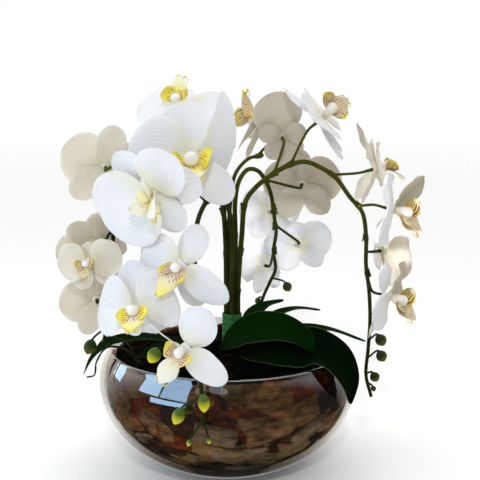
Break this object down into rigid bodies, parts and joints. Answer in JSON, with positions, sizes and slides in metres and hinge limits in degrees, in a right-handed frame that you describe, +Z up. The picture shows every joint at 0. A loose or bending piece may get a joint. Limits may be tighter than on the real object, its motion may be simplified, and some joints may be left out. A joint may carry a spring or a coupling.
{
  "type": "floral table centerpiece",
  "caption": "Artificial moth orchid arrangement: arching flower spikes with broad white blooms over strap leaves and moss, in a low round smoked glass bowl.",
  "frame": {"origin": "middle of the flat foot of the bowl, on the table", "axes": "+Z up, the arrangement's front towards -Y, +X to its right"},
  "size_m": [0.3437, 0.3021, 0.3816],
  "materials": {
    "bowl_glass": "smoked, lustre coated, glossy",
    "foam": "dry porous foam",
    "bark": "rough chips",
    "moss": "matt fibre",
    "tape": "stretched tape, satin",
    "stem": "coated, satin",
    "petal": "coated cloth, soft satin",
    "lip": "coated cloth, printed, satin",
    "leaf": "coated, satin",
    "root": "satin"
  },
  "bodies": {
    "root": {"aerial_roots": "root", "back_bloom_1_lip": "lip", "back_bloom_1_petals": "petal", "back_bloom_2_lip": "lip", "back_bloom_2_petals": "petal", "back_bloom_3_lip": "lip", "back_bloom_3_petals": "petal", "back_bloom_4_lip": "lip", "back_bloom_4_petals": "petal", "back_spike": "stem", "bark_chips": "bark", "floral_foam": "foam", "front_bloom_1_lip": "lip", "front_bloom_1_petals": "petal", "front_bloom_2_lip": "lip", "front_bloom_2_petals": "petal", "front_bloom_3_lip": "lip", "front_bloom_3_petals": "petal", "front_spike": "stem", "glass_bowl": "bowl_glass", "leaf_back_middle": "leaf", "leaf_back_short": "leaf", "leaf_left": "leaf", "leaf_left_short": "leaf", "leaf_over_rim": "leaf", "leaf_right_front": "leaf", "leaf_right_long": "leaf", "left_bloom_1_lip": "lip", "left_bloom_1_petals": "petal", "left_bloom_2_lip": "lip", "left_bloom_2_petals": "petal", "left_bloom_3_lip": "lip", "left_bloom_3_petals": "petal", "left_bloom_4_lip": "lip", "left_bloom_4_petals": "petal", "left_bloom_5_lip": "lip", "left_bloom_5_petals": "petal", "left_bloom_6_lip": "lip", "left_bloom_6_petals": "petal", "left_bloom_7_lip": "lip", "left_bloom_7_petals": "petal", "left_spike": "stem", "moss": "moss", "right_bloom_1_lip": "lip", "right_bloom_1_petals": "petal", "right_bloom_2_lip": "lip", "right_bloom_2_petals": "petal", "right_bloom_3_lip": "lip", "right_bloom_3_petals": "petal", "right_bloom_4_lip": "lip", "right_bloom_4_petals": "petal", "right_bloom_5_lip": "lip", "right_bloom_5_petals": "petal", "right_bloom_6_lip": "lip", "right_bloom_6_petals": "petal", "right_spike": "stem", "tape_sleeve": "tape", "top_bloom_1_lip": "lip", "top_bloom_1_petals": "petal", "top_spike": "stem"}
  },
  "joints": []
}
